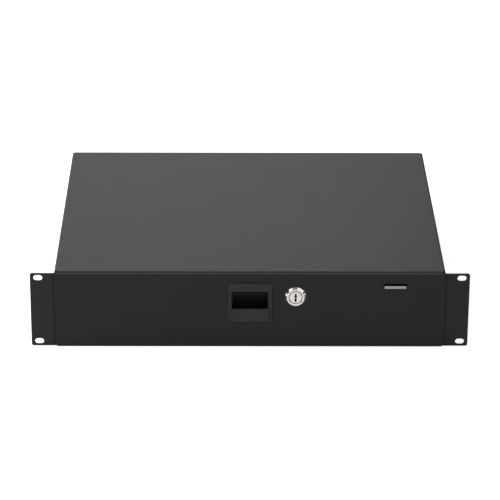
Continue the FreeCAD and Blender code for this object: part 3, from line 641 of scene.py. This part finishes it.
def makeSpring():
    # the coil is the source's spring made slimmer about its middle, with a mesh of its own
    mesh = bmesh.new()
    mesh.from_mesh(nodes["latch_spring"].data)
    middle = middleOf("latch_spring")
    bmesh.ops.scale(mesh, vec=(spring["slim"], spring["slim"], 1), verts=mesh.verts,
                    space=Matrix.Translation(-middle))
    coil = newPiece("latch_spring_coil", mesh, "drawer", finishes["spring_wire"])
    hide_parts("latch_spring")
    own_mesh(coil)


makeSpring()
print("spring made")

# the stage: pale floor, soft light, camera
stage = {"floorSize": 14.0, "floorGap": 0.2 * mm, "floorColour": (0.86, 0.86, 0.86),
         "floorLift": 0.7, "floorGlossLift": 0.2, "worldLight": 0.5}


def backgroundStrength(tree, forCamera, forGloss, forLight):
    # one strength for what the camera sees, one for gloss and glass, one for plain light
    path = tree.nodes.new("ShaderNodeLightPath")
    mirrored = tree.nodes.new("ShaderNodeMath")
    mirrored.operation = "MAXIMUM"
    tree.links.new(path.outputs["Is Glossy Ray"], mirrored.inputs[0])
    tree.links.new(path.outputs["Is Transmission Ray"], mirrored.inputs[1])
    gloss = tree.nodes.new("ShaderNodeMath")
    gloss.operation = "MULTIPLY_ADD"
    gloss.inputs[1].default_value = forGloss - forLight
    gloss.inputs[2].default_value = forLight
    tree.links.new(mirrored.outputs["Value"], gloss.inputs[0])
    total = tree.nodes.new("ShaderNodeMath")
    total.operation = "MULTIPLY_ADD"
    total.inputs[1].default_value = forCamera - forLight
    tree.links.new(path.outputs["Is Camera Ray"], total.inputs[0])
    tree.links.new(gloss.outputs["Value"], total.inputs[2])
    return total.outputs["Value"]


def makeFloor():
    material = bpy.data.materials.new("paleFloor")
    material.use_nodes = True
    tree = material.node_tree
    tree.nodes.clear()
    plain = tree.nodes.new("ShaderNodeBsdfDiffuse")
    plain.inputs["Color"].default_value = (*stage["floorColour"], 1)
    lift = tree.nodes.new("ShaderNodeEmission")
    strength = backgroundStrength(tree, stage["floorLift"], stage["floorGlossLift"], 0)
    tree.links.new(strength, lift.inputs["Strength"])
    both = tree.nodes.new("ShaderNodeAddShader")
    tree.links.new(plain.outputs["BSDF"], both.inputs[0])
    tree.links.new(lift.outputs["Emission"], both.inputs[1])
    output = tree.nodes.new("ShaderNodeOutputMaterial")
    tree.links.new(both.outputs["Shader"], output.inputs["Surface"])
    mesh = bmesh.new()
    bmesh.ops.create_grid(mesh, x_segments=1, y_segments=1, size=stage["floorSize"] / 2)
    floorLevel = cadBox[0][2] - stage["floorGap"]
    bmesh.ops.translate(mesh, vec=(0, 0, floorLevel), verts=mesh.verts)
    floor = meshObject("floor", mesh, material)


def makeWorld():
    # plain white where the camera, gloss or glass sees it, softer as light
    world = bpy.data.worlds.new("studio")
    scene.world = world
    world.use_nodes = True
    tree = world.node_tree
    back = tree.nodes["Background"]
    back.inputs["Color"].default_value = (1, 1, 1, 1)
    tree.links.new(backgroundStrength(tree, 1, 1, stage["worldLight"]), back.inputs["Strength"])


lamps = {
    "leftNear": {"place": (-0.95, 0.15, 0.75), "size": 0.5, "watts": 7.4},
    "leftSoftbox": {"place": (-1.45, -0.35, 1.45), "size": 0.3, "watts": 4.2},
    "back": {"place": (-0.03, 1.7, 0.8), "size": 0.8, "watts": 1.12},
}

# boards round and over the object, which only gloss sees, with their tones
boards = {
    "left": {"low": (-2.6, -1.0, 0.2), "high": (-2.6, 0.1, 1.1), "tone": 0.03},
    "leftUpper": {"low": (-2.6, -1.2, 1.1), "high": (-2.6, 0.0, 2.2), "tone": 0.4},
    "right": {"low": (2.6, -0.9, 0.2), "high": (2.6, 0.3, 0.75), "tone": 0.03},
    "backRight": {"low": (1.0, 0.9, 0.2), "high": (1.0, 5.0, 2.6), "tone": 0.05},
    "above": {"low": (-1.1, -1.1, 2.4), "high": (0.8, -0.45, 2.4), "tone": 0.45},
}
boardRoughness = 0.9


def makeLamps():
    target = (cadBox[0] + cadBox[1]) / 2
    for name, lamp in lamps.items():
        data = bpy.data.lights.new(name, "AREA")
        data.shape = "SQUARE"
        data.size = lamp["size"]
        data.energy = lamp["watts"]
        light = bpy.data.objects.new(name, data)
        scene.collection.objects.link(light)
        light.location = lamp["place"]
        light.rotation_euler = (target - light.location).to_track_quat("-Z", "Y").to_euler()


def makeBoards():
    for name, board in boards.items():
        material = startMaterial(name + "Card", [board["tone"]] * 3, boardRoughness)[0]
        low, high = Vector(board["low"]), Vector(board["high"])
        mesh = bmesh.new()
        if low.x == high.x:
            corners = [low, (low.x, high.y, low.z), high, (low.x, low.y, high.z)]
        else:
            corners = [low, (high.x, low.y, low.z), high, (low.x, high.y, low.z)]
        mesh.faces.new([mesh.verts.new(corner) for corner in corners])
        card = meshObject(name + "Board", mesh, material)
        card.visible_camera = False
        card.visible_diffuse = False
        card.visible_shadow = False


view = {
    "place": (-0.02499, -2.51771, 1.15285), "lens": 180.84, "farthest": 50,
    "turn": 0.564, "down": 23.251, "roll": 0.305,   # degrees
}


def makeCamera():
    turn, down, roll = (math.radians(view[key]) for key in ("turn", "down", "roll"))
    level = math.cos(down)
    ahead = Vector((math.sin(turn) * level, math.cos(turn) * level, -math.sin(down)))
    right = Vector((math.cos(turn), -math.sin(turn), 0))
    up = right.cross(ahead)
    side = right * math.cos(roll) + up * math.sin(roll)
    head = up * math.cos(roll) - right * math.sin(roll)
    data = bpy.data.cameras.new("camera")
    data.lens = view["lens"]
    data.clip_end = view["farthest"]
    camera = bpy.data.objects.new("camera", data)
    scene.collection.objects.link(camera)
    pose = Matrix((side, head, -ahead)).transposed().to_4x4()
    pose.translation = view["place"]
    camera.matrix_world = pose
    scene.camera = camera


makeFloor()
makeWorld()
makeLamps()
makeBoards()
makeCamera()
scene.view_settings.view_transform = "Standard"
print("stage, lamps and camera made")

bpy.context.view_layer.update()
